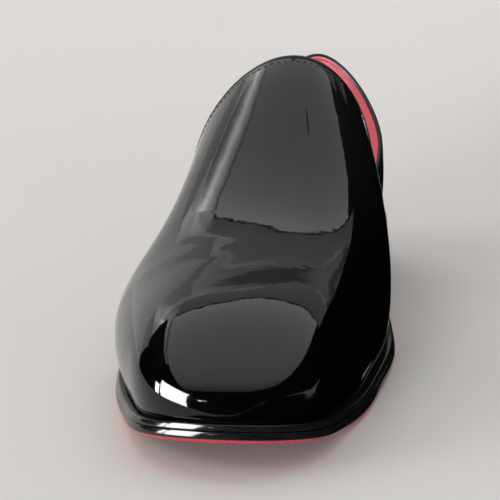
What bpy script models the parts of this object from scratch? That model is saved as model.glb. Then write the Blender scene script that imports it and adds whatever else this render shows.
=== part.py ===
"""Plain slip-on dress shoe for the right foot: hollow upper, rolled collar binding,
insole, welt, outsole, heel block and heel top piece.

Metres. The toe points to -Y, the heel to +Y, the inner (medial) side to +X, up is +Z.
"""
import bpy
import bmesh
import numpy as np

MM = 0.001

# Driving sizes
SOLE_LENGTH = 298 * MM
BALL_WIDTH = 104 * MM
INSTEP_RISE = 96 * MM
HEEL_HEIGHT = 22 * MM
TOE_SPRING = 11 * MM

# Thicknesses and the small space between neighbouring pieces
WALL = 1.8 * MM
GAP = 0.3 * MM
WELT = 2.3 * MM
OUTSOLE = 4.2 * MM
INSOLE = 2.5 * MM
TOP_PIECE = 6.0 * MM
BINDING_RADIUS = 1.25 * MM

# How far the sole stands out past the upper's bottom edge
EDGE_FRONT = 4.0 * MM
EDGE_REAR = 3.0 * MM

# Bottom line of the sole, as distances back from the toe
SPRING_RUN = 78 * MM
ARCH_START = 114 * MM
ARCH_END = 226 * MM
RED_EDGE = 1.4 * MM

# Heel
BREAST_STATION = 0.255
BREAST_RADIUS = 75 * MM
HEEL_TAPER = 2.2 * MM
BACK_CURVE = 10 * MM
BACK_REACH = 60 * MM

# Sections of the last. Station runs from the heel back (0) to the toe tip (1).
# Half widths are shares of the ball width, the crown a share of the instep rise above
# the bottom edge, widest is how far up the crown the section is widest, fullness
# squares the shoulder and swing moves the ridge towards the inner side.
LAST_COLUMNS = ("station", "lateral", "medial", "crown", "widest", "fullness", "swing")
LAST = (
    (0.00, 0.000, 0.000, 0.890, 0.220, 0.00, 0.000),
    (0.03, 0.194, 0.193, 0.885, 0.220, 0.00, 0.002),
    (0.09, 0.298, 0.293, 0.868, 0.220, 0.00, 0.006),
    (0.16, 0.348, 0.335, 0.855, 0.220, 0.00, 0.012),
    (0.25, 0.396, 0.322, 0.880, 0.224, 0.00, 0.022),
    (0.35, 0.427, 0.328, 0.960, 0.238, 0.00, 0.037),
    (0.45, 0.424, 0.398, 0.998, 0.258, -0.04, 0.038),
    (0.55, 0.484, 0.448, 0.794, 0.266, 0.07, 0.050),
    (0.64, 0.552, 0.446, 0.613, 0.267, 0.07, 0.048),
    (0.72, 0.541, 0.419, 0.526, 0.270, 0.15, 0.037),
    (0.80, 0.481, 0.386, 0.475, 0.283, 0.28, 0.024),
    (0.88, 0.397, 0.328, 0.399, 0.306, 0.40, 0.014),
    (0.94, 0.325, 0.273, 0.275, 0.322, 0.44, 0.007),
    (0.98, 0.220, 0.166, 0.151, 0.328, 0.45, 0.002),
    (1.00, 0.000, 0.000, 0.000, 0.328, 0.45, 0.000),
)
THROAT_STATION = 0.439

# Collar edge seen from the side: share of the way from the throat to the heel back,
# and height as a share of the throat height.
COLLAR_COLUMNS = ("back", "height")
COLLAR = (
    (0.00, 1.000),
    (0.03, 0.836),
    (0.07, 0.708),
    (0.12, 0.556),
    (0.20, 0.458),
    (0.32, 0.436),
    (0.46, 0.440),
    (0.60, 0.501),
    (0.76, 0.602),
    (0.90, 0.714),
    (1.00, 0.822),
)

# Mesh density
QUARTER_ROWS = 26
VAMP_ROWS = 20
WALL_COLUMNS = 11
SOLE_ROWS = 44

TOE_Y = -SOLE_LENGTH / 2
LAST_TOE_Y = TOE_Y + EDGE_FRONT
LAST_HEEL_Y = SOLE_LENGTH / 2 - EDGE_REAR + 1.1 * MM
SOLE_STACK = GAP + WELT + GAP + OUTSOLE


def rounded(station):
    """Angle of a station; even steps of it crowd together at both ends."""
    return np.arccos(np.clip(1 - 2 * np.asarray(station, float), -1, 1))


def smooth(stations, values, flat_start=True, flat_end=True):
    """Curve of continuous bend through the values; a flat end has no slope."""
    knots = rounded(stations)
    values = np.asarray(values, float)
    step = np.diff(knots)
    rise = np.diff(values) / step
    last = len(knots) - 1
    matrix = np.eye(last + 1)
    right = np.zeros(last + 1)
    for i in range(1, last):
        matrix[i, i - 1:i + 2] = step[i - 1], 2 * (step[i - 1] + step[i]), step[i]
        right[i] = 6 * (rise[i] - rise[i - 1])
    if flat_start:
        matrix[0, :2] = 2 * step[0], step[0]
        right[0] = 6 * rise[0]
    if flat_end:
        matrix[last, last - 1:] = step[-1], 2 * step[-1]
        right[last] = -6 * rise[-1]
    bend = np.linalg.solve(matrix, right)

    def at(station):
        angle = rounded(station)
        i = np.clip(np.searchsorted(knots, angle) - 1, 0, last - 1)
        a = (knots[i + 1] - angle) / step[i]
        b = 1 - a
        bow = (a ** 3 - a) * bend[i] + (b ** 3 - b) * bend[i + 1]
        return a * values[i] + b * values[i + 1] + bow * step[i] ** 2 / 6
    return at


def column(table, names, name):
    """One named column of a table."""
    place = names.index(name)
    return [row[place] for row in table]


def last_curve(name, flat_start=True, flat_end=True):
    """A column of the last's table as a smooth curve over the station."""
    stations = column(LAST, LAST_COLUMNS, "station")
    return smooth(stations, column(LAST, LAST_COLUMNS, name), flat_start, flat_end)


LATERAL = last_curve("lateral", False, False)
MEDIAL = last_curve("medial", False, False)
CROWN = last_curve("crown", True, False)
WIDEST = last_curve("widest")
FULLNESS = last_curve("fullness")
SWING = last_curve("swing")
COLLAR_HEIGHT = smooth(column(COLLAR, COLLAR_COLUMNS, "back"), column(COLLAR, COLLAR_COLUMNS, "height"))


def ease(share):
    """Smooth step from 0 to 1."""
    s = np.clip(share, 0, 1)
    return s * s * s * (s * (6 * s - 15) + 10)


def sole_height(y):
    """Height of the outsole's underside: toe spring, flat tread, arch and heel seat."""
    back = y - TOE_Y
    spring = TOE_SPRING * np.clip(1 - back / SPRING_RUN, 0, None) ** 2.2
    arch = HEEL_HEIGHT * ease((back - ARCH_START) / (ARCH_END - ARCH_START))
    return spring + arch


def station_y(station):
    return LAST_HEEL_Y + (LAST_TOE_Y - LAST_HEEL_Y) * station


def section_height(station):
    """Bottom edge, widest level and height of the section above that level."""
    bottom = sole_height(station_y(station)) + SOLE_STACK
    crown = CROWN(station) * INSTEP_RISE
    return bottom, bottom + crown * WIDEST(station), crown * (1 - WIDEST(station))


def throat_height():
    """Height of the ridge where the collar begins."""
    bottom, widest, height = section_height(THROAT_STATION)
    return widest + height


def section_angle(station, z):
    """Angle at which a section reaches height z."""
    bottom, widest, height = section_height(station)
    return np.arcsin(np.clip((z - widest) / np.maximum(height, 1e-9), -1, 1))


def bottom_angle(station):
    """Angle of the bottom edge of a section."""
    return -np.arcsin(WIDEST(station) / (1 - WIDEST(station)))


def last_point(station, angle):
    """Point of the last's skin; angle 0 is the lateral wall, pi the medial wall."""
    bottom, widest, height = section_height(station)
    lateral = LATERAL(station) * BALL_WIDTH
    medial = MEDIAL(station) * BALL_WIDTH
    cosine = np.cos(angle)
    sine = np.sin(angle)
    x = -(lateral + medial) / 2 * cosine * (1 + FULLNESS(station) * sine ** 2)
    x = x + (medial - lateral) / 2 * cosine ** 2 + SWING(station) * BALL_WIDTH * sine ** 2
    z = widest + height * sine
    fade = np.clip(1 - station / 0.3, 0, 1) ** 3
    y = station_y(station) - BACK_CURVE * fade * ((z - widest) / BACK_REACH) ** 2
    return np.stack(np.broadcast_arrays(x, y, z), axis=-1)


def spaced(count):
    """Stations from 0 to 1 that crowd together at both ends."""
    return (1 - np.cos(np.linspace(0, np.pi, count + 1))) / 2


def upper_rows():
    """Stations from heel to toe with the angle at which each section ends."""
    back = spaced(QUARTER_ROWS)[::-1]
    quarter = THROAT_STATION * (1 - back)
    top = section_angle(quarter, COLLAR_HEIGHT(back) * throat_height())
    top[-1] = np.pi / 2
    turn = np.linspace(rounded(THROAT_STATION), np.pi, VAMP_ROWS + 1)[1:]
    vamp = (1 - np.cos(turn)) / 2
    stations = np.concatenate([quarter, vamp])
    return stations, np.concatenate([top, np.full(VAMP_ROWS, np.pi / 2)])


def upper_grids():
    """Grids of skin points for the lateral and the medial side."""
    stations, top = upper_rows()
    low = bottom_angle(stations)
    share = np.linspace(0, 1, WALL_COLUMNS + 1)
    angle = low[:, None] + (top - low)[:, None] * share[None, :]
    lateral = last_point(stations[:, None], angle)
    medial = last_point(stations[:, None], np.pi - angle)
    return lateral, medial


def bottom_outline():
    """Bottom edge of the upper as a closed plan outline with its outward normals."""
    stations = spaced(SOLE_ROWS)
    lateral = last_point(stations, bottom_angle(stations))
    medial = last_point(stations, np.pi - bottom_angle(stations))
    loop = np.concatenate([lateral, medial[-2:0:-1]])[:, :2]
    along = np.roll(loop, -1, axis=0) - np.roll(loop, 1, axis=0)
    normal = np.stack([along[:, 1], -along[:, 0]], axis=1)
    normal /= np.linalg.norm(normal, axis=1)[:, None]
    return loop, normal, np.concatenate([stations, stations[-2:0:-1]])


LOOP, NORMAL, LOOP_STATION = bottom_outline()
EDGE = EDGE_REAR + (EDGE_FRONT - EDGE_REAR) * ease((LOOP_STATION - 0.4) / 0.3)
SOLE_EDGE = LOOP + NORMAL * EDGE[:, None]
SHIFT_X = -(SOLE_EDGE[:, 0].max() + SOLE_EDGE[:, 0].min()) / 2
SHIFT_Y = -(SOLE_EDGE[:, 1].max() + SOLE_EDGE[:, 1].min()) / 2


def sole_ring(inset, drop):
    """Ring inside the sole's edge, a given drop below the upper's bottom edge."""
    plan = SOLE_EDGE - NORMAL * np.broadcast_to(inset, EDGE.shape)[:, None]
    z = sole_height(plan[:, 1]) + SOLE_STACK - drop
    return np.column_stack([plan, z])


def collection(name):
    group = bpy.data.collections.new(name)
    bpy.context.scene.collection.children.link(group)
    return group


def material(name, color, roughness, coat=0.0):
    mat = bpy.data.materials.new(name)
    mat.use_nodes = True
    shader = mat.node_tree.nodes["Principled BSDF"]
    shader.inputs["Base Color"].default_value = (*color, 1)
    shader.inputs["Roughness"].default_value = roughness
    shader.inputs["Coat Weight"].default_value = coat
    return mat


def add_object(name, bm, mat, group):
    """Finish a mesh as a smooth-shaded object moved to the middle of the sole."""
    bmesh.ops.remove_doubles(bm, verts=bm.verts, dist=0.01 * MM)
    bmesh.ops.translate(bm, verts=bm.verts, vec=(SHIFT_X, SHIFT_Y, 0))
    mesh = bpy.data.meshes.new(name)
    bm.to_mesh(mesh)
    bm.free()
    mesh.shade_smooth()
    mesh.materials.append(mat)
    obj = bpy.data.objects.new(name, mesh)
    group.objects.link(obj)
    return obj


def add_grid(bm, points, flip):
    """Quads over a grid of points."""
    verts = [[bm.verts.new(p) for p in row] for row in points]
    for near, far in zip(verts, verts[1:]):
        for j in range(len(near) - 1):
            face = [near[j], far[j], far[j + 1], near[j + 1]]
            bm.faces.new(face[::-1] if flip else face)


def add_rings(bm, rings, joined=False):
    """Quads between neighbouring rings; joined rings close on themselves."""
    verts = [[bm.verts.new(p) for p in ring] for ring in rings]
    pairs = list(zip(verts, verts[1:]))
    if joined:
        pairs.append((verts[-1], verts[0]))
    for upper, lower in pairs:
        count = len(upper)
        for i in range(count):
            j = (i + 1) % count
            bm.faces.new([upper[i], lower[i], lower[j], upper[j]])
    return verts


def add_cap(bm, ring, flip):
    """Close a ring with strips from its lateral to its medial half."""
    count = len(ring)
    half = count // 2
    for i in range(half):
        face = [ring[i], ring[i + 1], ring[count - i - 1], ring[(count - i) % count]]
        face = list(dict.fromkeys(face))
        bm.faces.new(face[::-1] if flip else face)


def capped(rings):
    """Solid from a stack of rings, top ring first."""
    bm = bmesh.new()
    verts = add_rings(bm, rings)
    add_cap(bm, verts[0], False)
    add_cap(bm, verts[-1], True)
    return bm


def build_upper(mat, group):
    bm = bmesh.new()
    lateral, medial = upper_grids()
    add_grid(bm, lateral, False)
    add_grid(bm, medial, True)
    obj = add_object("upper", bm, mat, group)
    shell = obj.modifiers.new("wall", "SOLIDIFY")
    shell.thickness = WALL
    shell.offset = -1
    shell.use_even_offset = True
    return obj


def collar_rim():
    """Collar edge as a closed loop, with the skin's normal and the way off the edge."""
    stations, top = upper_rows()
    turn = rounded(stations[:QUARTER_ROWS + 1])
    angle = top[:QUARTER_ROWS + 1]
    turn = np.concatenate([turn, turn[-2:0:-1]])
    angle = np.concatenate([angle, np.pi - angle[-2:0:-1]])

    def skin(turn, angle):
        return last_point((1 - np.cos(turn)) / 2, angle)
    small = 1e-4
    rim = skin(turn, angle)
    normal = np.cross(skin(turn + small, angle) - rim, skin(turn, angle + small) - rim)
    normal /= np.linalg.norm(normal, axis=1)[:, None]
    off = np.cross(normal, np.roll(rim, -1, axis=0) - np.roll(rim, 1, axis=0))
    off /= np.linalg.norm(off, axis=1)[:, None]
    return rim, normal, off


def build_binding(mat, group):
    """Rolled edge that sits along the collar."""
    rim, normal, off = collar_rim()
    loop = rim + off * (GAP + BINDING_RADIUS) - normal * WALL / 2
    curve = bpy.data.curves.new("collar_binding", "CURVE")
    curve.dimensions = "3D"
    curve.bevel_depth = BINDING_RADIUS
    curve.bevel_resolution = 2
    spline = curve.splines.new("POLY")
    spline.points.add(len(loop) - 1)
    for point, place in zip(spline.points, loop):
        point.co = (place[0] + SHIFT_X, place[1] + SHIFT_Y, place[2], 1)
    spline.use_cyclic_u = True
    spline.use_smooth = True
    curve.materials.append(mat)
    obj = bpy.data.objects.new("collar_binding", curve)
    group.objects.link(obj)
    return obj


def build_insole(mat, group):
    inside = EDGE + WALL + 2 * GAP
    rings = [
        sole_ring(inside + 0.8 * MM, -INSOLE),
        sole_ring(inside, 0.8 * MM - INSOLE),
        sole_ring(inside, 0),
    ]
    return add_object("insole", capped(rings), mat, group)


def build_welt(mat, group):
    """Strip around the shoe whose outer edge leans in a little."""
    top = GAP
    low = GAP + WELT
    profile = (
        (9.5 * MM, top),
        (1.5 * MM, top),
        (1.2 * MM, top + 0.15 * WELT),
        (0.75 * MM, top + 0.5 * WELT),
        (0.45 * MM, low - 0.15 * WELT),
        (0.8 * MM, low),
        (9.5 * MM, low),
    )
    bm = bmesh.new()
    add_rings(bm, [sole_ring(inset, drop) for inset, drop in profile], joined=True)
    return add_object("welt", bm, mat, group)


def build_outsole(mat, group):
    """Sole whose edge leans in a little, bevelled up from below around the forefoot."""
    top = GAP + WELT + GAP
    low = SOLE_STACK
    front = ease((LOOP_STATION - 0.25) / 0.2)
    lip = low - RED_EDGE * front
    rings = [
        sole_ring(1.1 * MM, top),
        sole_ring(0.65 * MM, top + 0.25 * MM),
        sole_ring(0.3 * MM, top + 1.1 * MM),
        sole_ring(0, top + 1.9 * MM),
        sole_ring(0, lip - 0.4 * MM),
        sole_ring(0.2 * MM, lip),
        sole_ring(0.4 * MM + 2.8 * MM * front, low),
    ]
    return add_object("outsole", capped(rings), mat, group)


def heel_loop(inset):
    """Heel end of the sole's edge, from the breast on one side round to the other."""
    rear = LOOP_STATION <= BREAST_STATION + 0.05
    count = len(rear)
    plan = SOLE_EDGE - NORMAL * inset
    return np.array([plan[i % count] for i in range(-(count // 2), count // 2) if rear[i % count]])


def heel_solid(top_inset, low_inset, top, low):
    """Solid between two heel-shaped rings."""
    bm = bmesh.new()
    rings = []
    for inset, height in ((top_inset, top), (low_inset, low)):
        plan = heel_loop(inset)
        rings.append(np.column_stack([plan, np.broadcast_to(height(plan[:, 1]), len(plan))]))
    verts = add_rings(bm, rings)
    for ring, flip in ((verts[0], True), (verts[1], False)):
        count = len(ring)
        for i in range(count // 2):
            face = list(dict.fromkeys([ring[i], ring[i + 1], ring[count - i - 2], ring[count - i - 1]]))
            if len(face) > 2:
                bm.faces.new(face[::-1] if flip else face)
    bmesh.ops.recalc_face_normals(bm, faces=bm.faces)
    return bm


def cut_breast(obj, cutter):
    cut = obj.modifiers.new("breast", "BOOLEAN")
    cut.operation = "DIFFERENCE"
    cut.solver = "EXACT"
    cut.object = cutter


def build_heel(mat_block, mat_top, group, cutters):
    breast_y = station_y(BREAST_STATION) + SHIFT_Y
    bm = bmesh.new()
    bmesh.ops.create_cone(bm, segments=96, radius1=BREAST_RADIUS, radius2=BREAST_RADIUS, depth=0.06,
                          cap_ends=True)
    mesh = bpy.data.meshes.new("breast_cutter")
    bm.to_mesh(mesh)
    bm.free()
    cutter = bpy.data.objects.new("breast_cutter", mesh)
    cutter.location = (SHIFT_X, breast_y - BREAST_RADIUS + 5 * MM, 0.02)
    cutter.display_type = "WIRE"
    cutter.hide_render = True
    cutters.objects.link(cutter)
    seam = TOP_PIECE + GAP
    taper = HEEL_TAPER * (HEEL_HEIGHT - seam) / HEEL_HEIGHT
    block = heel_solid(0.5 * MM, 0.5 * MM + taper, lambda y: sole_height(y) - GAP, lambda y: seam)
    block = add_object("heel_block", block, mat_block, group)
    top = heel_solid(0.5 * MM + taper, 0.5 * MM + HEEL_TAPER, lambda y: TOP_PIECE, lambda y: 0.0)
    top = add_object("heel_top_piece", top, mat_top, group)
    cut_breast(block, cutter)
    cut_breast(top, cutter)


def main():
    for old in list(bpy.data.objects):
        bpy.data.objects.remove(old, do_unlink=True)
    shoe = collection("slip_on_shoe")
    cutters = collection("cutters")
    cutters.hide_render = True
    patent = material("patent_leather", (0.010, 0.010, 0.011), 0.08, 1.0)
    binding = material("binding_leather", (0.012, 0.012, 0.013), 0.25)
    sock = material("insole_leather", (0.60, 0.06, 0.08), 0.5)
    edge = material("welt_edge", (0.015, 0.014, 0.014), 0.3)
    sole = material("outsole_leather", (0.020, 0.018, 0.018), 0.35)
    stack = material("heel_leather", (0.018, 0.017, 0.017), 0.35)
    rubber = material("heel_rubber", (0.02, 0.02, 0.02), 0.7)
    build_upper(patent, shoe)
    build_binding(binding, shoe)
    build_insole(sock, shoe)
    build_welt(edge, shoe)
    build_outsole(sole, shoe)
    build_heel(stack, rubber, shoe, cutters)


main()
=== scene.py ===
"""Looks of the plain patent slip-on for the right foot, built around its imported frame.

Metres. The toe points to -Y, the heel to +Y, the inner (medial) side to +X, up is +Z.
"""
import bmesh
import bpy
import numpy as np
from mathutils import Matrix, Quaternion, Vector


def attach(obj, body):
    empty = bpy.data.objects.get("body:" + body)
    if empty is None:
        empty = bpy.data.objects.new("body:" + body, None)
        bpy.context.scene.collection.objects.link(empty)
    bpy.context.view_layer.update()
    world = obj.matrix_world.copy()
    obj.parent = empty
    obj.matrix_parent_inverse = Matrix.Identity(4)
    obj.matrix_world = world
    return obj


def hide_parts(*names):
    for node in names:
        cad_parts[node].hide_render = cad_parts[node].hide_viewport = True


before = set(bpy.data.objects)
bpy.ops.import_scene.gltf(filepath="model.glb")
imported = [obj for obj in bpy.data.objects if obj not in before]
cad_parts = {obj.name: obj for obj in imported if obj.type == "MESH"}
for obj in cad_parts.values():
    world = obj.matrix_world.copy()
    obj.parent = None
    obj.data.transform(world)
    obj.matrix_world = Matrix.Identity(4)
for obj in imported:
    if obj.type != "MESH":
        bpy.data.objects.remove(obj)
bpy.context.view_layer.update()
MM = 0.001

# Sizes that the solids have too: overall sizes, thicknesses and the space between pieces
SOLE_LENGTH = 298 * MM
BALL_WIDTH = 104 * MM
INSTEP_RISE = 96 * MM
HEEL_HEIGHT = 22 * MM
TOE_SPRING = 11 * MM
WALL = 1.8 * MM
GAP = 0.3 * MM
WELT = 2.3 * MM
OUTSOLE = 4.2 * MM
INSOLE = 2.5 * MM
TOP_PIECE = 6.0 * MM

# How far the sole stands out past the upper, the stations over which that changes, and how
# far the back of the last overhangs its bottom edge
EDGE_FRONT = 4.0 * MM
EDGE_REAR = 3.0 * MM
EDGE_START = 0.4
EDGE_RUN = 0.3
HEEL_OVERHANG = 1.1 * MM

# Bottom line of the sole as distances back from the toe, the height of its red edge, and the
# stations over which that grows from nothing
SPRING_RUN = 78 * MM
SPRING_POWER = 2.2
ARCH_START = 114 * MM
ARCH_END = 226 * MM
RED_EDGE = 1.4 * MM
RED_START = 0.25
RED_RUN = 0.2

# Heel, and the curve of the upper's back above it
BREAST_STATION = 0.255
BREAST_RADIUS = 75 * MM
BREAST_DEPTH = 5 * MM
HEEL_INSET = 0.5 * MM
HEEL_TAPER = 2.2 * MM
BACK_CURVE = 10 * MM
BACK_REACH = 60 * MM
BACK_SHARE = 0.3

# Layers of the upper's wall, and how the lining climbs the rolled edge: way up, depth
SKIN = 0.9 * MM
LINING_AT = 1.0 * MM
LINING = 0.75 * MM
LINING_CLIMB = ((0.5 * MM, 1.15 * MM), (1.0 * MM, 1.28 * MM), (1.5 * MM, 1.35 * MM))

# Rolled edge: half sizes of its oval, its middle above the wall, the angles of its red part
ROLL_ACROSS = 1.12 * MM
ROLL_ALONG = 1.5 * MM
ROLL_RISE = 1.35 * MM
ROLL_SIDES = 16
RED_FROM = 150
RED_TO = 270

# Stitches below the rolled edge: pitch and length count steps along their line, which leaves
# out the points that crowd together at the heel back
STITCH_DROP = 1.5 * MM
STITCH_STEP = 0.35 * MM
STITCH_PITCH = 8
STITCH_LONG = 6
STITCH_RADIUS = 0.2 * MM
STITCH_PROUD = 0.12 * MM
STITCH_SINK = 0.3 * MM
STITCH_SIDES = 6
CROWDED_TURN = 0.2

# Sock: radius of its edge, then inset and dip of the rings inside it
SOCK_ROUND = 0.8 * MM
SOCK_DIP = ((3 * MM, 0.1 * MM), (6 * MM, 0.35 * MM), (9 * MM, 0.5 * MM))

# Welt: inset of its inner side, soft corners, inset, lean and bulge of its face, and the
# shares of the height between which that lies
WELT_INNER = 9.5 * MM
WELT_SHOULDER = (2.2 * MM, 1.6 * MM)
WELT_FOOT = (0.62 * MM, 1.0 * MM)
WELT_SOFT = 0.03 * MM
WELT_FACE = (1.32 * MM, 0.95 * MM, 0.5 * MM)
WELT_SPAN = (0.06, 0.9)

# Outsole: inset and drop at its shoulder, its face as for the welt and where that lies, inset
# and rise at its lip, and how far in the bevel below the lip goes
SOLE_SHOULDER = ((2.0 * MM, 0.0), (1.1 * MM, 0.02 * MM), (0.82 * MM, 0.1 * MM))
SOLE_FACE = (0.66 * MM, 0.62 * MM, 0.3 * MM)
SOLE_FACE_TOP = 0.25 * MM
SOLE_FACE_TALL = 1.65 * MM
SOLE_LIP = ((0.0, 0.4 * MM), (0.08 * MM, 0.15 * MM), (0.2 * MM, 0.0))
BEVEL_REAR = 0.2 * MM
BEVEL_FRONT = 2.8 * MM

# Heel: its soft edges, and the lines between its lifts as shares of its height
STACK_TOP = 0.8 * MM
STACK_FOOT = 0.25 * MM
LIFT_LINES = (0.333, 0.667)
LIFT_WIDTH = 0.03
LIFT_GROOVE = 0.16 * MM
RUBBER_ROUND = 0.35 * MM
RUBBER_SHARE = 0.15

# Sections of the last, the same as in the solids. Station runs from the heel back (0) to
# the toe tip (1). Half widths are shares of the ball width, the crown a share of the instep
# rise above the bottom edge, widest is how far up the crown the section is widest, fullness
# squares the shoulder and swing moves the ridge towards the inner side.
LAST_COLUMNS = ("station", "lateral", "medial", "crown", "widest", "fullness", "swing")
LAST = (
    (0.00, 0.000, 0.000, 0.890, 0.220, 0.00, 0.000),
    (0.03, 0.194, 0.193, 0.885, 0.220, 0.00, 0.002),
    (0.09, 0.298, 0.293, 0.868, 0.220, 0.00, 0.006),
    (0.16, 0.348, 0.335, 0.855, 0.220, 0.00, 0.012),
    (0.25, 0.396, 0.322, 0.880, 0.224, 0.00, 0.022),
    (0.35, 0.427, 0.328, 0.960, 0.238, 0.00, 0.037),
    (0.45, 0.424, 0.398, 0.998, 0.258, -0.04, 0.038),
    (0.55, 0.484, 0.448, 0.794, 0.266, 0.07, 0.050),
    (0.64, 0.552, 0.446, 0.613, 0.267, 0.07, 0.048),
    (0.72, 0.541, 0.419, 0.526, 0.270, 0.15, 0.037),
    (0.80, 0.481, 0.386, 0.475, 0.283, 0.28, 0.024),
    (0.88, 0.397, 0.328, 0.399, 0.306, 0.40, 0.014),
    (0.94, 0.325, 0.273, 0.275, 0.322, 0.44, 0.007),
    (0.98, 0.220, 0.166, 0.151, 0.328, 0.45, 0.002),
    (1.00, 0.000, 0.000, 0.000, 0.328, 0.45, 0.000),
)
THROAT_STATION = 0.439

# Collar edge seen from the side: share of the way from the throat to the heel back, and
# height as a share of the throat height
COLLAR_COLUMNS = ("back", "height")
COLLAR = (
    (0.00, 1.000),
    (0.03, 0.836),
    (0.07, 0.708),
    (0.12, 0.556),
    (0.20, 0.458),
    (0.32, 0.436),
    (0.46, 0.440),
    (0.60, 0.501),
    (0.76, 0.602),
    (0.90, 0.714),
    (1.00, 0.822),
)

# Mesh density
QUARTER_ROWS = 110
VAMP_ROWS = 120
WALL_COLUMNS = 64
SOLE_ROWS = 120
HEEL_POINTS = 120
BREAST_POINTS = 24
SOCK_STEPS = 5
WELT_STEPS = 13
SOLE_STEPS = 9
BEVEL_STEPS = 8
STACK_STEPS = 41
RUBBER_STEPS = 9
SWEEP_STEPS = 13

TOE_Y = -SOLE_LENGTH / 2
LAST_TOE_Y = TOE_Y + EDGE_FRONT
LAST_HEEL_Y = SOLE_LENGTH / 2 - EDGE_REAR + HEEL_OVERHANG
SOLE_STACK = GAP + WELT + GAP + OUTSOLE


def rounded(station):
    """Angle of a station; even steps of it crowd together at both ends."""
    return np.arccos(np.clip(1 - 2 * np.asarray(station, float), -1, 1))


def station_at(turn):
    """Station of an angle, the other way round."""
    return (1 - np.cos(turn)) / 2


def unit(vectors):
    """Vectors brought to a length of 1."""
    return vectors / np.linalg.norm(vectors, axis=-1)[..., None]


def smooth(stations, values, flat_start=True, flat_end=True):
    """Curve of continuous bend through the values; a flat end has no slope."""
    knots = rounded(stations)
    values = np.asarray(values, float)
    step = np.diff(knots)
    rise = np.diff(values) / step
    last = len(knots) - 1
    matrix = np.eye(last + 1)
    right = np.zeros(last + 1)
    for i in range(1, last):
        matrix[i, i - 1:i + 2] = step[i - 1], 2 * (step[i - 1] + step[i]), step[i]
        right[i] = 6 * (rise[i] - rise[i - 1])
    if flat_start:
        matrix[0, :2] = 2 * step[0], step[0]
        right[0] = 6 * rise[0]
    if flat_end:
        matrix[last, last - 1:] = step[-1], 2 * step[-1]
        right[last] = -6 * rise[-1]
    bend = np.linalg.solve(matrix, right)

    def at(station):
        angle = rounded(station)
        i = np.clip(np.searchsorted(knots, angle) - 1, 0, last - 1)
        a = (knots[i + 1] - angle) / step[i]
        b = 1 - a
        bow = (a ** 3 - a) * bend[i] + (b ** 3 - b) * bend[i + 1]
        return a * values[i] + b * values[i + 1] + bow * step[i] ** 2 / 6
    return at


def column(table, names, name):
    """One named column of a table."""
    place = names.index(name)
    return [row[place] for row in table]


def last_curve(name, flat_start=True, flat_end=True):
    """A column of the last's table as a smooth curve over the station."""
    stations = column(LAST, LAST_COLUMNS, "station")
    return smooth(stations, column(LAST, LAST_COLUMNS, name), flat_start, flat_end)


LATERAL = last_curve("lateral", False, False)
MEDIAL = last_curve("medial", False, False)
CROWN = last_curve("crown", True, False)
WIDEST = last_curve("widest")
FULLNESS = last_curve("fullness")
SWING = last_curve("swing")
COLLAR_HEIGHT = smooth(column(COLLAR, COLLAR_COLUMNS, "back"), column(COLLAR, COLLAR_COLUMNS, "height"))


def ease(share):
    """Smooth step from 0 to 1."""
    s = np.clip(share, 0, 1)
    return s * s * s * (s * (6 * s - 15) + 10)


def sole_height(y):
    """Height of the outsole's underside: toe spring, flat tread, arch and heel seat."""
    back = y - TOE_Y
    spring = TOE_SPRING * np.clip(1 - back / SPRING_RUN, 0, None) ** SPRING_POWER
    arch = HEEL_HEIGHT * ease((back - ARCH_START) / (ARCH_END - ARCH_START))
    return spring + arch


def station_y(station):
    """Place of a station along the shoe."""
    return LAST_HEEL_Y + (LAST_TOE_Y - LAST_HEEL_Y) * station


def section_height(station):
    """Bottom edge, widest level and height of the section above that level."""
    bottom = sole_height(station_y(station)) + SOLE_STACK
    crown = CROWN(station) * INSTEP_RISE
    return bottom, bottom + crown * WIDEST(station), crown * (1 - WIDEST(station))


def throat_height():
    """Height of the ridge where the collar begins."""
    _, widest, height = section_height(THROAT_STATION)
    return widest + height


def section_angle(station, z):
    """Angle at which a section reaches height z."""
    _, widest, height = section_height(station)
    return np.arcsin(np.clip((z - widest) / np.maximum(height, 1e-9), -1, 1))


def bottom_angle(station):
    """Angle of the bottom edge of a section."""
    return -np.arcsin(WIDEST(station) / (1 - WIDEST(station)))


def last_point(station, angle):
    """Point of the last's skin; angle 0 is the lateral wall, pi the medial wall."""
    _, widest, height = section_height(station)
    lateral = LATERAL(station) * BALL_WIDTH
    medial = MEDIAL(station) * BALL_WIDTH
    cosine = np.cos(angle)
    sine = np.sin(angle)
    x = -(lateral + medial) / 2 * cosine * (1 + FULLNESS(station) * sine ** 2)
    x = x + (medial - lateral) / 2 * cosine ** 2 + SWING(station) * BALL_WIDTH * sine ** 2
    z = widest + height * sine
    fade = np.clip(1 - station / BACK_SHARE, 0, 1) ** 3
    y = station_y(station) - BACK_CURVE * fade * ((z - widest) / BACK_REACH) ** 2
    return np.stack(np.broadcast_arrays(x, y, z), axis=-1)


def skin(turn, angle):
    """Point of the last's skin, over the station's angle."""
    return last_point(station_at(turn), angle)


def skin_frame(turn, angle):
    """Point of the skin and its outward normal, over the station's angle."""
    small = 1e-4
    inner = np.clip(turn, 2 * small, np.pi - 2 * small)
    base = skin(inner, angle)
    normal = np.cross(skin(inner + small, angle) - base, skin(inner, angle + small) - base)
    return skin(turn, angle), unit(normal)


def spaced(count):
    """Stations from 0 to 1 that crowd together at both ends."""
    return station_at(np.linspace(0, np.pi, count + 1))


def upper_rows():
    """Station angles from heel to toe with the angle at which each section ends."""
    back = spaced(QUARTER_ROWS)[::-1]
    quarter = THROAT_STATION * (1 - back)
    top = section_angle(quarter, COLLAR_HEIGHT(back) * throat_height())
    top[-1] = np.pi / 2
    turn = np.linspace(rounded(THROAT_STATION), np.pi, VAMP_ROWS + 1)[1:]
    return np.concatenate([rounded(quarter), turn]), np.concatenate([top, np.full(VAMP_ROWS, np.pi / 2)])


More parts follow.
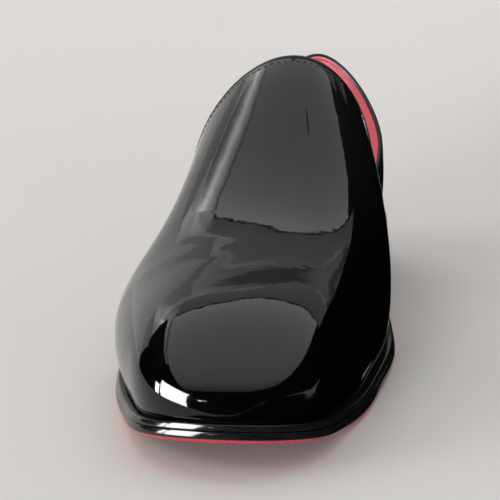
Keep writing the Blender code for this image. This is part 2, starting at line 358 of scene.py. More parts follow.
def bottom_outline():
    """Bottom edge of the upper as a closed plan outline with its outward normals."""
    stations = spaced(SOLE_ROWS)
    lateral = last_point(stations, bottom_angle(stations))
    medial = last_point(stations, np.pi - bottom_angle(stations))
    loop = np.concatenate([lateral, medial[-2:0:-1]])[:, :2]
    along = np.roll(loop, -1, axis=0) - np.roll(loop, 1, axis=0)
    normal = unit(np.stack([along[:, 1], -along[:, 0]], axis=1))
    return loop, normal, np.concatenate([stations, stations[-2:0:-1]])


LOOP, NORMAL, LOOP_STATION = bottom_outline()
EDGE = EDGE_REAR + (EDGE_FRONT - EDGE_REAR) * ease((LOOP_STATION - EDGE_START) / EDGE_RUN)
SOLE_EDGE = LOOP + NORMAL * EDGE[:, None]
SHIFT_X = -(SOLE_EDGE[:, 0].max() + SOLE_EDGE[:, 0].min()) / 2
SHIFT_Y = -(SOLE_EDGE[:, 1].max() + SOLE_EDGE[:, 1].min()) / 2
FRONT = ease((LOOP_STATION - RED_START) / RED_RUN)


def sole_ring(inset, drop):
    """Ring inside the sole's edge, a given drop below the upper's bottom edge."""
    plan = SOLE_EDGE - NORMAL * np.broadcast_to(inset, EDGE.shape)[:, None]
    z = sole_height(plan[:, 1]) + SOLE_STACK - drop
    return np.column_stack([plan, z])


# Meshes

WELD_DISTANCE = 0.004 * MM


def add_object(name, data):
    """New object in the scene."""
    obj = bpy.data.objects.new(name, data)
    bpy.context.scene.collection.objects.link(obj)
    return obj


class Shape:
    """Points and faces of one piece while it is put together."""

    def __init__(self):
        self.points = []
        self.faces = []
        self.finish = []
        self.count = 0

    def add_points(self, points):
        """Add points and tell the number of the first."""
        start = self.count
        points = np.asarray(points, float).reshape(-1, 3)
        self.points.append(points)
        self.count += len(points)
        return start

    def add_grid(self, grid, flip=False, closed=False, finish=0):
        """Quads over rows of points; closed rows join their last point to the first."""
        rows, cols = grid.shape[:2]
        start = self.add_points(grid)
        index = start + np.arange(rows * cols).reshape(rows, cols)
        if closed:
            index = np.column_stack([index, index[:, 0]])
        corners = [index[:-1, :-1], index[1:, :-1], index[1:, 1:], index[:-1, 1:]]
        quads = np.stack(corners, axis=-1).reshape(-1, 4)
        if flip:
            quads = quads[:, ::-1]
        self.faces += quads.tolist()
        self.finish += [finish] * len(quads)
        return index

    def add_faces(self, faces, finish=0):
        """Add faces between points that are there already."""
        self.faces += [list(face) for face in faces]
        self.finish += [finish] * len(faces)

    def make(self, name, mats, slot, weld=True):
        """Finish as a smooth-shaded piece that rides with the shoe."""
        points = np.concatenate(self.points) + np.array([SHIFT_X, SHIFT_Y, 0])
        mesh = bpy.data.meshes.new(name)
        mesh.from_pydata(points.tolist(), [], self.faces)
        mesh.polygons.foreach_set("material_index", self.finish)
        if weld:
            bm = bmesh.new()
            bm.from_mesh(mesh)
            bmesh.ops.remove_doubles(bm, verts=bm.verts, dist=WELD_DISTANCE)
            bm.to_mesh(mesh)
            bm.free()
        mesh.shade_smooth()
        for mat in mats:
            mesh.materials.append(mat)
        obj = add_object(name, mesh)
        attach(obj, "root")
        return obj


def half_cap(shape, index, flip, finish=0):
    """Close a ring with strips from its lateral to its medial half."""
    ring = list(index)
    count = len(ring)
    faces = []
    for i in range(count // 2):
        face = [ring[i], ring[i + 1], ring[count - i - 1], ring[(count - i) % count]]
        face = list(dict.fromkeys(face))
        faces.append(face[::-1] if flip else face)
    shape.add_faces(faces, finish)


def thicken(obj, thickness):
    """Give a skin its thickness, on the inside."""
    shell = obj.modifiers.new("thickness", "SOLIDIFY")
    shell.thickness = thickness
    shell.offset = -1


# Upper, lining and collar

# Creases on the vamp in millimetres and degrees: kind, middle and direction in plan, half
# length, half width and height. A fold drops towards the heel and rises towards the toe; a
# ridge rises along its line, or sinks where its height is below 0.
CREASES = (
    ("fold", 0.5, -94.7, 38, 12.0, 10.0, 0.57),
    ("ridge", -12.0, -69.4, 54, 16.5, 7.0, 0.35),
    ("ridge", -31.0, -61.0, -2, 15.0, 3.6, 0.26),
    ("ridge", -22.0, -70.0, 8, 14.0, 3.2, -0.12),
    ("ridge", 8.0, -57.0, 4, 20.0, 2.2, -0.05),
)
CREASES_ABOVE = 20 * MM


def relief(point):
    """Height of the soft ridges and troughs that wear and lasting leave on the vamp."""
    rise = np.zeros(point.shape[:-1])
    for kind, x, y, turn, half, wide, height in CREASES:
        across = point[..., 0] / MM - x
        along = point[..., 1] / MM - y
        cosine = np.cos(np.radians(turn))
        sine = np.sin(np.radians(turn))
        lengthwise = (across * cosine + along * sine) / half
        sideways = (along * cosine - across * sine) / wide
        shape = -sideways if kind == "fold" else 1.0
        bell = np.exp(-(lengthwise ** 2 + sideways ** 2) / 2)
        rise += height * MM * shape * bell * (point[..., 2] > CREASES_ABOVE)
    return rise


def wall_grids(depth, shaped):
    """Grids of the lateral and medial wall, a given depth under the outer skin."""
    turn, top = upper_rows()
    low = bottom_angle(station_at(turn))
    share = np.linspace(0, 1, WALL_COLUMNS + 1)
    angle = low[:, None] + (top - low)[:, None] * share[None, :]
    grids = []
    for side in (angle, np.pi - angle):
        point, normal = skin_frame(turn[:, None], side)
        rise = relief(point) if shaped else 0 * point[..., 0]
        grids.append(point + normal * (rise - depth)[..., None])
    return grids


def build_upper(mat):
    """Creased outer skin of the upper."""
    shape = Shape()
    lateral, medial = wall_grids(0.0, True)
    shape.add_grid(lateral)
    shape.add_grid(medial, flip=True)
    obj = shape.make("patent_upper", [mat], "patent_leather")
    thicken(obj, SKIN)
    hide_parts("upper")


def build_lining(mat):
    """Red lining that climbs a little way up the inside of the rolled edge."""
    shape = Shape()
    lateral, medial = wall_grids(LINING_AT, False)
    shape.add_grid(lateral[:, ::2])
    shape.add_grid(medial[:, ::2], flip=True)
    rim, normal, off = collar_frame()[2:]
    rows = [rim - normal * LINING_AT]
    for climb, depth in LINING_CLIMB:
        rows.append(rim + off * climb - normal * depth)
    shape.add_grid(np.stack(rows), closed=True)
    obj = shape.make("lining", [mat], "insole_leather")
    thicken(obj, LINING)


def collar_frame():
    """Collar edge as a closed loop of skin angles with point, normal and way off the edge."""
    turn, top = upper_rows()
    turn = turn[:QUARTER_ROWS + 1]
    angle = top[:QUARTER_ROWS + 1]
    turn = np.concatenate([turn, turn[-2:0:-1]])
    angle = np.concatenate([angle, np.pi - angle[-2:0:-1]])
    rim, normal = skin_frame(turn, angle)
    off = unit(np.cross(normal, np.roll(rim, -1, axis=0) - np.roll(rim, 1, axis=0)))
    return turn, angle, rim, normal, off


def build_roll(mat, lining):
    """Rolled edge along the collar: an oval bead over the wall's top, red on the inside."""
    rim, normal, off = collar_frame()[2:]
    around = np.linspace(0, 2 * np.pi, ROLL_SIDES + 1)[:-1]
    rows = []
    for a in around:
        across = ROLL_ACROSS * np.cos(a)
        along = ROLL_ALONG * np.sin(a)
        rows.append(rim + off * (ROLL_RISE + along) + normal * (across - WALL / 2))
    inner = int(np.argmin(np.abs(around - np.radians(RED_FROM))))
    under = int(np.argmin(np.abs(around - np.radians(RED_TO))))
    shape = Shape()
    shape.add_grid(np.stack(rows[inner:under + 1]), closed=True, flip=True, finish=1)
    shape.add_grid(np.stack(rows[under:] + rows[:inner + 1]), closed=True, flip=True)
    obj = shape.make("collar_roll", [mat, lining], "binding_leather")
    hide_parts("collar_binding")


def walk(turn, angle, way, distance, steps=6):
    """Skin angles reached by going a distance over the skin in the given way."""
    small = 1e-5
    for _ in range(steps):
        base = skin(turn, angle)
        du = (skin(turn + small, angle) - base) / small
        dv = (skin(turn, angle + small) - base) / small
        uu = (du * du).sum(-1)
        uv = (du * dv).sum(-1)
        vv = (dv * dv).sum(-1)
        wu = (way * du).sum(-1)
        wv = (way * dv).sum(-1)
        det = uu * vv - uv * uv
        step = distance / steps
        turn = turn + step * (vv * wu - uv * wv) / det
        angle = angle + step * (uu * wv - uv * wu) / det
    return turn, angle


def run_length(points):
    """Way along a line up to each of its points; columns past the third don't count."""
    steps = np.linalg.norm(np.diff(points[:, :3], axis=0), axis=1)
    return np.concatenate([[0], np.cumsum(steps)])


def resample(points, count):
    """A number of evenly spaced points along an open line."""
    length = run_length(points)
    at = np.linspace(0, length[-1], count)
    return np.stack([np.interp(at, length, values) for values in points.T], axis=1)


def resample_loop(points, spacing):
    """Points of a closed loop at about the given spacing."""
    closed = np.vstack([points, points[:1]])
    count = int(round(run_length(closed)[-1] / spacing))
    return resample(closed, count + 1)[:-1]


def build_stitches(mat):
    """Fine stitches a little below the rolled edge."""
    turn, angle, _, _, off = collar_frame()
    keep = (turn > CROWDED_TURN) | (np.arange(len(turn)) == 0)
    turn, angle = walk(turn[keep], angle[keep], -off[keep], STITCH_DROP)
    line = resample_loop(np.hstack(skin_frame(turn, angle)), STITCH_STEP)
    proud = STITCH_PROUD - STITCH_SINK * np.linspace(-1, 1, STITCH_LONG) ** 4
    around = np.linspace(0, 2 * np.pi, STITCH_SIDES + 1)[:-1]
    shape = Shape()
    for start in range(0, len(line) - STITCH_PITCH, STITCH_PITCH):
        place, normal = np.hsplit(line[start:start + STITCH_LONG], 2)
        spot = place + normal * proud[:, None]
        side = np.cross(unit(np.gradient(spot, axis=0)), normal)
        ring = [spot + (side * np.cos(a) + normal * np.sin(a)) * STITCH_RADIUS for a in around]
        shape.add_grid(np.stack(ring, axis=1), closed=True)
    shape.make("topline_stitches", [mat], "binding_leather", weld=False)


# Insole and sole

def build_insole(mat):
    """Sock with a soft edge that dips a little under the foot."""
    inside = EDGE + WALL + 2 * GAP
    rings = [sole_ring(inside, 0), sole_ring(inside, SOCK_ROUND - INSOLE)]
    for turn in np.linspace(0, np.pi / 2, SOCK_STEPS)[1:]:
        inset = SOCK_ROUND * (1 - np.cos(turn))
        drop = SOCK_ROUND * (1 - np.sin(turn))
        rings.append(sole_ring(inside + inset, drop - INSOLE))
    for inset, drop in SOCK_DIP:
        rings.append(sole_ring(inside + inset, drop - INSOLE))
    shape = Shape()
    index = shape.add_grid(np.stack(rings), closed=True, flip=True)
    half_cap(shape, index[-1][:-1], False)
    half_cap(shape, index[0][:-1], True)
    obj = shape.make("sock", [mat], "insole_leather")
    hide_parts("insole")


def face_inset(face, share):
    """Inset of a leaning, softly bulging edge, a share of the way down."""
    inset, lean, bulge = face
    return inset - lean * share + bulge * (share - 0.5) ** 2


def build_welt(mat):
    """Narrow welt whose outer edge leans in a little and bulges softly."""
    low = GAP + WELT
    profile = [(WELT_INNER, GAP), (WELT_SHOULDER[0], GAP), (WELT_SHOULDER[1], GAP + WELT_SOFT)]
    for share in np.linspace(*WELT_SPAN, WELT_STEPS):
        profile.append((face_inset(WELT_FACE, share), GAP + WELT * share))
    profile += [(WELT_FOOT[0], low - WELT_SOFT), (WELT_FOOT[1], low), (WELT_INNER, low)]
    shape = Shape()
    rings = [sole_ring(inset, drop) for inset, drop in profile]
    shape.add_grid(np.stack(rings + rings[:1]), closed=True)
    obj = shape.make("welt_rib", [mat], "welt_edge")
    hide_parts("welt")


def build_outsole(edge_mat, red_mat, shaded_tread_mat):
    """Outsole whose edge leans in a little, with a bright red bevel and a tread in a darker red of painted
    shade.
    """
    top = GAP + WELT + GAP
    low = SOLE_STACK
    lip = low - RED_EDGE * FRONT
    rings = [sole_ring(inset, top + drop) for inset, drop in SOLE_SHOULDER]
    for share in np.linspace(0, 1, SOLE_STEPS):
        drop = SOLE_FACE_TOP + SOLE_FACE_TALL * share
        rings.append(sole_ring(face_inset(SOLE_FACE, share), top + drop))
    rings += [sole_ring(inset, lip - rise) for inset, rise in SOLE_LIP]
    under = [rings[-1]]
    lip_inset = SOLE_LIP[-1][0]
    for share in np.linspace(0, 1, BEVEL_STEPS)[1:]:
        inset = lip_inset + (BEVEL_REAR + BEVEL_FRONT * FRONT) * share
        under.append(sole_ring(inset, lip + (low - lip) * np.sin(share * np.pi / 2)))
    shape = Shape()
    index = shape.add_grid(np.stack(rings), closed=True)
    half_cap(shape, index[0][:-1], False)
    index = shape.add_grid(np.stack(under), closed=True, finish=1)
    # Tread cap in the darker red: painted shade under the shoe
    half_cap(shape, index[-1][:-1], True, finish=2)
    obj = shape.make("sole_edge", [edge_mat, red_mat, shaded_tread_mat], "outsole_leather")
    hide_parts("outsole")


def heel_plan(inset):
    """Heel end of the sole's edge from one breast corner round to the other."""
    count = len(LOOP)
    order = np.arange(-(count // 2), count // 2) % count
    plan = (SOLE_EDGE - NORMAL * inset)[order]
    front = breast_y(plan[:, 0])
    inside = np.nonzero(plan[:, 1] > front)[0]
    first, last = inside[0], inside[-1]
    loop = plan[first:last + 1]
    ends = []
    for a, b in ((first, first - 1), (last, last + 1)):
        gap_a = plan[a, 1] - breast_y(plan[a, 0])
        gap_b = plan[b, 1] - breast_y(plan[b, 0])
        ends.append(plan[a] + (plan[b] - plan[a]) * gap_a / (gap_a - gap_b))
    edge = np.vstack([ends[0], loop, ends[1]])
    x = np.linspace(ends[1][0], ends[0][0], BREAST_POINTS + 2)[1:-1]
    breast = np.column_stack([x, breast_y(x)])
    return edge, breast


def breast_y(x):
    """Concave front of the heel."""
    middle = station_y(BREAST_STATION) - BREAST_RADIUS + BREAST_DEPTH
    return middle + np.sqrt(np.maximum(BREAST_RADIUS ** 2 - np.asarray(x) ** 2, 1e-9))


def heel_ring(inset, height, slope):
    """Ring of the heel at a height, plus a share of what the sole's bottom line rises."""
    edge, breast = heel_plan(inset)
    ring = np.vstack([resample(edge, HEEL_POINTS), breast])
    return np.column_stack([ring, height + sole_height(ring[:, 1]) * slope])


def heel_shape(rings):
    """Closed solid over a stack of rings, from the top one down."""
    shape = Shape()
    index = shape.add_grid(np.stack(rings), closed=True, flip=True)
    shape.add_faces([index[0][:-1][::-1].tolist(), index[-1][:-1].tolist()])
    return shape


def build_heel_block(mat):
    """Stacked heel with fine lines between its lifts."""
    foot = TOP_PIECE + GAP
    taper = HEEL_TAPER * (HEEL_HEIGHT - foot) / HEEL_HEIGHT
    profile = [(STACK_TOP, 1.0)]
    for share in np.linspace(1.0, 0.0, STACK_STEPS)[1:-1]:
        off_line = min(abs(share - line) for line in LIFT_LINES)
        profile.append((LIFT_GROOVE * max(0.0, 1 - off_line / LIFT_WIDTH), share))
    profile.append((STACK_FOOT, 0.0))
    rings = []
    for groove, share in profile:
        inset = HEEL_INSET + taper * (1 - share) + groove
        rings.append(heel_ring(inset, foot - (GAP + foot) * share, share))
    block = heel_shape(rings).make("heel_stack", [mat], "heel_leather")
    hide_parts("heel_block")


def build_heel_top(mat):
    """Rubber top piece with soft edges."""
    rings = []
    for share in np.linspace(1.0, 0.0, RUBBER_STEPS):
        soft = RUBBER_ROUND * max(0.0, RUBBER_SHARE - min(share, 1 - share)) / RUBBER_SHARE
        inset = HEEL_INSET + HEEL_TAPER * (1 - share * TOP_PIECE / HEEL_HEIGHT) + soft
        rings.append(heel_ring(inset, TOP_PIECE * share, 0))
    top = heel_shape(rings).make("heel_rubber", [mat], "heel_rubber")
    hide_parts("heel_top_piece")


# Materials

class Finish:
    """A Principled material whose textures are added by name."""

    def __init__(self, name, color, roughness):
        self.mat = bpy.data.materials.new(name)
        self.mat.use_nodes = True
        self.nodes = self.mat.node_tree.nodes
        self.links = self.mat.node_tree.links
        self.shader = self.nodes["Principled BSDF"]
        self.set("Base Color", (*color, 1))
        self.set("Roughness", roughness)
        self.place = self.nodes.new("ShaderNodeTexCoord").outputs["Object"]
        self.bumped = None

    def set(self, socket, value):
        """Give a socket of the shader a constant value."""
        self.shader.inputs[socket].default_value = value

    def noise(self, scale, detail, stretch=None):
        """Soft noise over the piece, stretched by axis if asked."""
        node = self.nodes.new("ShaderNodeTexNoise")
        node.inputs["Scale"].default_value = scale
        node.inputs["Detail"].default_value = detail
        place = self.place
        if stretch:
            mapping = self.nodes.new("ShaderNodeMapping")
            mapping.inputs["Scale"].default_value = stretch
            self.links.new(place, mapping.inputs["Vector"])
            place = mapping.outputs["Vector"]
        self.links.new(place, node.inputs["Vector"])
        return node.outputs["Fac"]

    def height(self):
        """Height above the floor in metres."""
        node = self.nodes.new("ShaderNodeSeparateXYZ")
        self.links.new(self.place, node.inputs["Vector"])
        return node.outputs["Z"]

    def mark(self, middle, turn, size):
        """1 at the middle of a small oval, falling to 0 at its edge."""
        mapping = self.nodes.new("ShaderNodeMapping")
        mapping.vector_type = "TEXTURE"
        mapping.inputs["Location"].default_value = middle
        mapping.inputs["Rotation"].default_value = np.radians(turn)
        mapping.inputs["Scale"].default_value = size
        node = self.nodes.new("ShaderNodeTexGradient")
        node.gradient_type = "SPHERICAL"
        self.links.new(self.place, mapping.inputs["Vector"])
        self.links.new(mapping.outputs["Vector"], node.inputs["Vector"])
        return node.outputs["Fac"]

    def cells(self, scale):
        """Small cells for the grain of leather."""
        node = self.nodes.new("ShaderNodeTexVoronoi")
        node.inputs["Scale"].default_value = scale
        self.links.new(self.place, node.inputs["Vector"])
        return node.outputs["Distance"]

    def ramp(self, value, low, high, socket, start=0.3, end=0.7):
        """Drive a socket from one colour or grey to another."""
        node = self.nodes.new("ShaderNodeValToRGB")
        for element, position, shade in zip(node.color_ramp.elements, (start, end), (low, high)):
            element.position = position
            element.color = (*shade, 1) if np.ndim(shade) else (shade, shade, shade, 1)
        self.links.new(value, node.inputs["Fac"])
        self.links.new(node.outputs["Color"], self.shader.inputs[socket])

    def bump(self, value, height, strength=1.0):
        """Raise the surface by a texture, on top of earlier bumps."""
        node = self.nodes.new("ShaderNodeBump")
        node.inputs["Distance"].default_value = height
        node.inputs["Strength"].default_value = strength
        self.links.new(value, node.inputs["Height"])
        if self.bumped:
            self.links.new(self.bumped, node.inputs["Normal"])
        self.bumped = node.outputs["Normal"]
        self.links.new(self.bumped, self.shader.inputs["Normal"])


# Patent leather: its black, the grey painted sheen between two heights, the scratch on the vamp
PATENT_BLACK = (0.0015, 0.0015, 0.0017)
PAINTED_SHEEN_GREY = (0.009, 0.009, 0.009)
PAINTED_SHEEN_LOW = 0.05
PAINTED_SHEEN_HIGH = 0.095
SCRATCH_MIDDLE = (0.0165, -0.0051, 0.0922)
SCRATCH_TURN = (0, 45.2, -77.5)
SCRATCH_SIZE = (0.0085, 0.0005, 0.004)


def patent_finish():
    """Mirror gloss over black, a little wavy, with a grey painted sheen towards the throat."""
    finish = Finish("patent_leather", PATENT_BLACK, 0.06)
    finish.set("IOR", 1.5)
    # Painted sheen: the base colour turns from black to grey between 50 mm and 95 mm above the floor, over
    # the upper vamp
    finish.ramp(finish.height(), PATENT_BLACK, PAINTED_SHEEN_GREY, "Base Color", PAINTED_SHEEN_LOW, PAINTED_SHEEN_HIGH)
    finish.ramp(finish.noise(45, 4), 0.035, 0.075, "Roughness")
    scratch = finish.mark(SCRATCH_MIDDLE, SCRATCH_TURN, SCRATCH_SIZE)
    finish.ramp(scratch, 0.5, 0.12, "Specular IOR Level", 0.05, 0.5)
    finish.bump(finish.noise(75, 2), 0.18 * MM, 0.7)
    finish.bump(finish.noise(260, 2), 0.045 * MM, 0.6)
    return finish.mat


def binding_finish():
    """Satin black leather."""
    finish = Finish("binding_leather", (0.005, 0.005, 0.0055), 0.4)
    finish.set("Specular IOR Level", 0.25)
    finish.ramp(finish.noise(300, 3), 0.32, 0.48, "Roughness")
    finish.bump(finish.noise(1800, 2), 0.03 * MM, 0.5)
    return finish.mat


def thread_finish():
    """Dull black thread."""
    finish = Finish("black_thread", (0.008, 0.008, 0.008), 0.5)
    finish.bump(finish.noise(6000, 1), 0.03 * MM)
    return finish.mat


def red_finish(name, low, high, roughness, grain):
    """Red leather that varies between two shades."""
    finish = Finish(name, high, roughness)
    finish.ramp(finish.noise(60, 4), low, high, "Base Color")
    finish.ramp(finish.noise(400, 3), roughness - 0.08, roughness + 0.1, "Roughness")
    finish.bump(finish.cells(grain), 0.05 * MM, 0.5)
    return finish.mat


def edge_finish(name, roughness):
    """Polished black leather edge with faint layers."""
    finish = Finish(name, (0.010, 0.0095, 0.0095), roughness)
    finish.ramp(finish.noise(120, 4, (1, 1, 6)), (0.006, 0.006, 0.006), (0.016, 0.015, 0.015), "Base Color")
    finish.ramp(finish.noise(300, 3), roughness - 0.04, roughness + 0.06, "Roughness")
    finish.bump(finish.noise(250, 3, (1, 1, 3)), 0.03 * MM, 0.4)
    return finish.mat


def rubber_finish():
    """Matt black rubber."""
    finish = Finish("heel_rubber", (0.018, 0.018, 0.018), 0.65)
    finish.ramp(finish.noise(250, 4), (0.012, 0.012, 0.012), (0.028, 0.027, 0.026), "Base Color")
    finish.bump(finish.noise(1500, 3), 0.05 * MM, 0.6)
    return finish.mat


def floor_finish():
    """Pale floor without gloss."""
    finish = Finish("pale_floor", (0.78, 0.76, 0.74), 0.8)
    finish.ramp(finish.noise(1.2, 2), (0.76, 0.74, 0.72), (0.80, 0.78, 0.76), "Base Color")
    finish.set("Specular IOR Level", 0.0)
    finish.bump(finish.noise(900, 2), 0.02 * MM, 0.2)
    return finish.mat


# Stage

# Floor: half width, which is also its reach to the front, and the sweep up to the back wall
FLOOR_HALF = 5.0
SWEEP_START = 2.2
SWEEP_RADIUS = 0.8
BACK_WALL_TOP = 1.7


def build_floor():
    """Pale floor that sweeps up far behind the shoe."""
    profile = [(-FLOOR_HALF, 0.0), (SWEEP_START, 0.0)]
    for turn in np.linspace(0, np.pi / 2, SWEEP_STEPS)[1:]:
        y = SWEEP_START + SWEEP_RADIUS * np.sin(turn)
        profile.append((y, SWEEP_RADIUS * (1 - np.cos(turn))))
    profile.append((SWEEP_START + SWEEP_RADIUS, BACK_WALL_TOP))
    points = [(x, y, z) for y, z in profile for x in (-FLOOR_HALF, FLOOR_HALF)]
    faces = [(2 * i, 2 * i + 1, 2 * i + 3, 2 * i + 2) for i in range(len(profile) - 1)]
    mesh = bpy.data.meshes.new("floor")
    mesh.from_pydata(points, [], faces)
    mesh.shade_smooth()
    mesh.materials.append(floor_finish())
    floor = add_object("floor", mesh)


# Lights stand around the shoe: height of ceiling panels, sides of the walls, and how far off
# the panels are that are placed by angle
SHOE_MIDDLE = (0, 0, 0.03)
CEILING = 2.3
REAR_WALL = 3.3
LEFT_WALL = -2.0
GLOW_DISTANCE = 2.4


def aim(obj, place, target, roll):
    """Put a light or the camera at a place, facing a target, rolled by some degrees."""
    facing = (Vector(target) - Vector(place)).to_track_quat("-Z", "Y")
    obj.location = place
    obj.rotation_mode = "QUATERNION"
    obj.rotation_quaternion = facing @ Quaternion((0, 0, 1), np.radians(roll))


def panel(name, place, target, size, radiance, diffuse=True, glossy=True, fade=None, spread=180, roll=0):
    """Soft rectangular light facing a target; its radiance is what a mirror would show."""
    width, height = size
    light = bpy.data.lights.new(name, "AREA")
    light.shape = "RECTANGLE"
    light.size = width
    light.size_y = height
    light.energy = radiance * width * height * np.pi
    light.spread = np.radians(spread)
    if fade:
        grade(light, *fade)
    obj = add_object(name, light)
    aim(obj, place, target, roll)
    obj.visible_camera = False
    obj.visible_diffuse = diffuse
    obj.visible_glossy = glossy


def grade(light, axis, shades):
    """Let a panel's brightness change from one end to the other, at even steps."""
    light.use_nodes = True
    nodes = light.node_tree.nodes
    links = light.node_tree.links
    geometry = nodes.new("ShaderNodeNewGeometry")
    split = nodes.new("ShaderNodeSeparateXYZ")
    ramp = nodes.new("ShaderNodeValToRGB")
    stops = ramp.color_ramp.elements
    for position in np.linspace(0, 1, len(shades))[1:-1]:
        stops.new(position)
    for stop, shade in zip(stops, shades):
        stop.color = (shade, shade, shade, 1)
    links.new(geometry.outputs["Parametric"], split.inputs["Vector"])
    links.new(split.outputs[axis], ramp.inputs["Fac"])
    links.new(ramp.outputs["Color"], nodes["Emission"].inputs["Color"])


def far(azimuth, elevation, distance):
    """Place as seen from the shoe; azimuth 0 is behind the heel, -90 the lateral side."""
    across = np.radians(azimuth)
    up = np.radians(elevation)
    level = distance * np.cos(up)
    return (level * np.sin(across), level * np.cos(across), distance * np.sin(up))


def glow(name, azimuth, elevation, size, radiance, fade=None, roll=0):
    """Panel that shows in gloss alone; its place and its width and height are angles."""
    size = 2 * GLOW_DISTANCE * np.tan(np.radians(size) / 2)
    place = far(azimuth, elevation, GLOW_DISTANCE)
    panel(name, place, SHOE_MIDDLE, size, radiance, diffuse=False, fade=fade, roll=roll)


def build_sky():
    """Even light from all round, which gloss doesn't show."""
    world = bpy.data.worlds.new("room")
    bpy.context.scene.world = world
    world.use_nodes = True
    sky = world.node_tree.nodes["Background"]
    sky.inputs["Color"].default_value = (1, 0.99, 0.98, 1)
    sky.inputs["Strength"].default_value = 0.3
    world.cycles_visibility.glossy = False


def build_overhead():
    """Soft box that the instep and the toe mirror."""
    panel("soft_box", (0.14, -0.12, CEILING), (0.14, -0.12, 0), size=(3.42, 3.56), radiance=1.4,
          diffuse=False, fade=("Y", (0.25, 0.68, 0.79, 0.89, 1.0)))


def build_fills():
    """Lights for the floor, lining and sole, which gloss doesn't show."""
    panel("floor_fill", (-0.3, 1.4, 1.9), (0, 0, 0), size=(3.0, 1.8), radiance=1.85, glossy=False)
    panel("left_fill", (-2.4, -0.7, 1.4), SHOE_MIDDLE, size=(1.6, 1.2), radiance=3.0, glossy=False)
    panel("front_fill", (-0.55, -2.0, 0.36), (0, -0.1, 0.02), size=(1.2, 0.3), radiance=0.95,
          glossy=False, spread=25)


def build_rear():
    """Dim ceiling and wall behind the heel; what they leave dark is the lens on the vamp."""
    panel("rear_strip", (0.0, 2.355, CEILING), (0, 2.355, 0), size=(4.6, 1.23), radiance=0.44, diffuse=False)
    panel("rear_wall", (0.0, REAR_WALL, 1.82), (0, 0, 1.82), size=(6.0, 1.47), radiance=0.16, diffuse=False)
    glow("rear_left", azimuth=-16.3, elevation=36.9, size=(17, 5.0), radiance=0.27,
         fade=("X", (0.25, 1.0, 1.0)), roll=-20)
    glow("rear_right", azimuth=15.8, elevation=34.8, size=(26, 5.8), radiance=0.26,
         fade=("X", (1.0, 1.0, 0.0)))


def build_left():
    """Bright wall to the left, mirrored as streaks along the lateral side."""
    panel("left_streak", (LEFT_WALL, 0.9, 2.2), (0, 0.9, 2.2), size=(2.0, 1.42), radiance=4.4,
          diffuse=False, fade=("Y", (0.12, 0.16, 0.4, 1.0, 0.6, 0.35, 0.06)))
    panel("left_fade", (LEFT_WALL, 2.4, 2.2), (0, 2.4, 2.2), size=(1.0, 1.42), radiance=1.2,
          diffuse=False, fade=("X", (0.1, 1.0)))
    glow("left_wall", azimuth=-40, elevation=19, size=(44, 38), radiance=0.85,
         fade=("X", (0.0, 0.5, 0.85, 0.9)))


def build_window():
    """Window and lamps to the front left, mirrored on the toe."""
    glow("window_wide", azimuth=-129, elevation=18, size=(33, 40), radiance=24)
    glow("window_narrow", azimuth=-106, elevation=12, size=(7, 24), radiance=24)
    glow("lamp_near", azimuth=-158, elevation=28, size=(2.2, 3.2), radiance=18)
    glow("lamp_far", azimuth=-161, elevation=28.5, size=(1.5, 2.6), radiance=7)


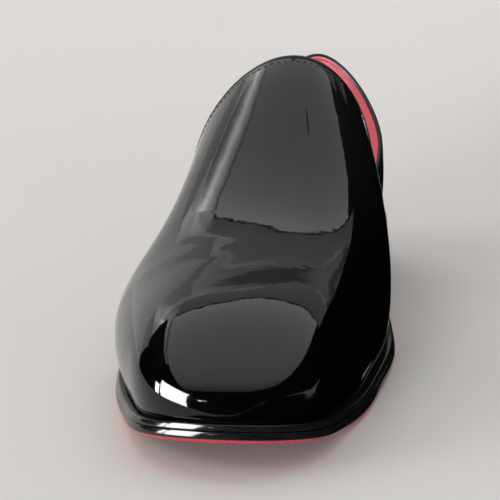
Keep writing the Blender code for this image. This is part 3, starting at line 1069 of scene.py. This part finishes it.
# Corners of the cards: LOW is just above the floor, HIGH the level of the card left of the toe
LOW = 1 * MM
HIGH = 115 * MM
CARDS = (
    ("front_card", ((-0.035, -0.165, LOW), (0.088, -0.20, LOW), (0.30, -0.60, LOW), (-0.06, -0.60, LOW))),
    ("low_card", ((-0.035, -0.165, LOW), (0.088, -0.20, LOW), (0.083, -0.10, LOW), (0.03, -0.155, LOW))),
    ("edge_card", ((0.03, -0.155, LOW), (0.083, -0.10, LOW), (0.091, -0.075, LOW), (0.055, -0.05, LOW))),
    ("toe_card", ((0.086, -0.24, LOW), (0.091, -0.03, LOW), (0.14, -0.03, 0.15), (0.14, -0.20, 0.10))),
    ("side_card", ((0.091, -0.03, LOW), (0.12, 0.60, LOW), (0.16, 0.60, 0.20), (0.14, -0.03, 0.15))),
    ("inner_card", ((0.055, -0.05, LOW), (0.091, -0.075, LOW), (0.121, 0.60, LOW), (0.03, 0.60, LOW))),
    ("left_card", ((-0.079, -0.15, HIGH), (-0.079, -0.05, HIGH), (-0.16, -0.05, HIGH), (-0.16, -0.15, HIGH))),
)


def build_cards():
    """Black cards that gloss alone sees, for the other shoe and what is dark round the toe."""
    finish = Finish("black_card", (0.002, 0.002, 0.002), 0.9)
    finish.set("Specular IOR Level", 0.0)
    for name, corners in CARDS:
        mesh = bpy.data.meshes.new(name)
        mesh.from_pydata(corners, [], [(0, 1, 2, 3)])
        mesh.materials.append(finish.mat)
        card = add_object(name, mesh)
        card.visible_camera = False
        card.visible_diffuse = False
        card.visible_shadow = False


# Camera: lens and sensor in millimetres, place and aim in metres, roll in degrees
LENS = 125.95
SENSOR = 36
NEAR_CLIP = 0.05
CAMERA_PLACE = (0.0990, -0.6894, 0.2314)
CAMERA_AIM = (-0.0005, -0.052, 0.0516)
CAMERA_ROLL = -1.1


def build_camera():
    """The photograph's viewpoint with a longer lens that frames the one shoe."""
    data = bpy.data.cameras.new("camera")
    data.lens = LENS
    data.sensor_width = SENSOR
    data.clip_start = NEAR_CLIP
    camera = add_object("camera", data)
    aim(camera, CAMERA_PLACE, CAMERA_AIM, CAMERA_ROLL)
    bpy.context.scene.camera = camera
    bpy.context.scene.view_settings.view_transform = "Standard"


def main():
    """Build the shoe, then the stage around it."""
    red = red_finish("red_lining", (0.88, 0.22, 0.265), (0.95, 0.27, 0.32), roughness=0.45, grain=900)
    sole_red = red_finish("red_sole", (0.72, 0.045, 0.085), (0.82, 0.06, 0.11), roughness=0.35, grain=1400)
    # Darker copy of the sole red for the tread: painted shade under the shoe, which also cuts the red bounce
    # on the floor
    tread = red_finish("tread_painted_shade", (0.10, 0.025, 0.03), (0.34, 0.03, 0.05), roughness=0.55, grain=700)
    build_upper(patent_finish())
    build_lining(red)
    build_roll(binding_finish(), red)
    build_stitches(thread_finish())
    build_insole(red)
    build_welt(edge_finish("welt_edge", roughness=0.12))
    build_outsole(edge_finish("sole_edge", roughness=0.12), sole_red, tread)
    build_heel_block(edge_finish("heel_stack", roughness=0.3))
    build_heel_top(rubber_finish())
    build_floor()
    build_sky()
    build_overhead()
    build_fills()
    build_rear()
    build_left()
    build_window()
    build_cards()
    build_camera()


main()
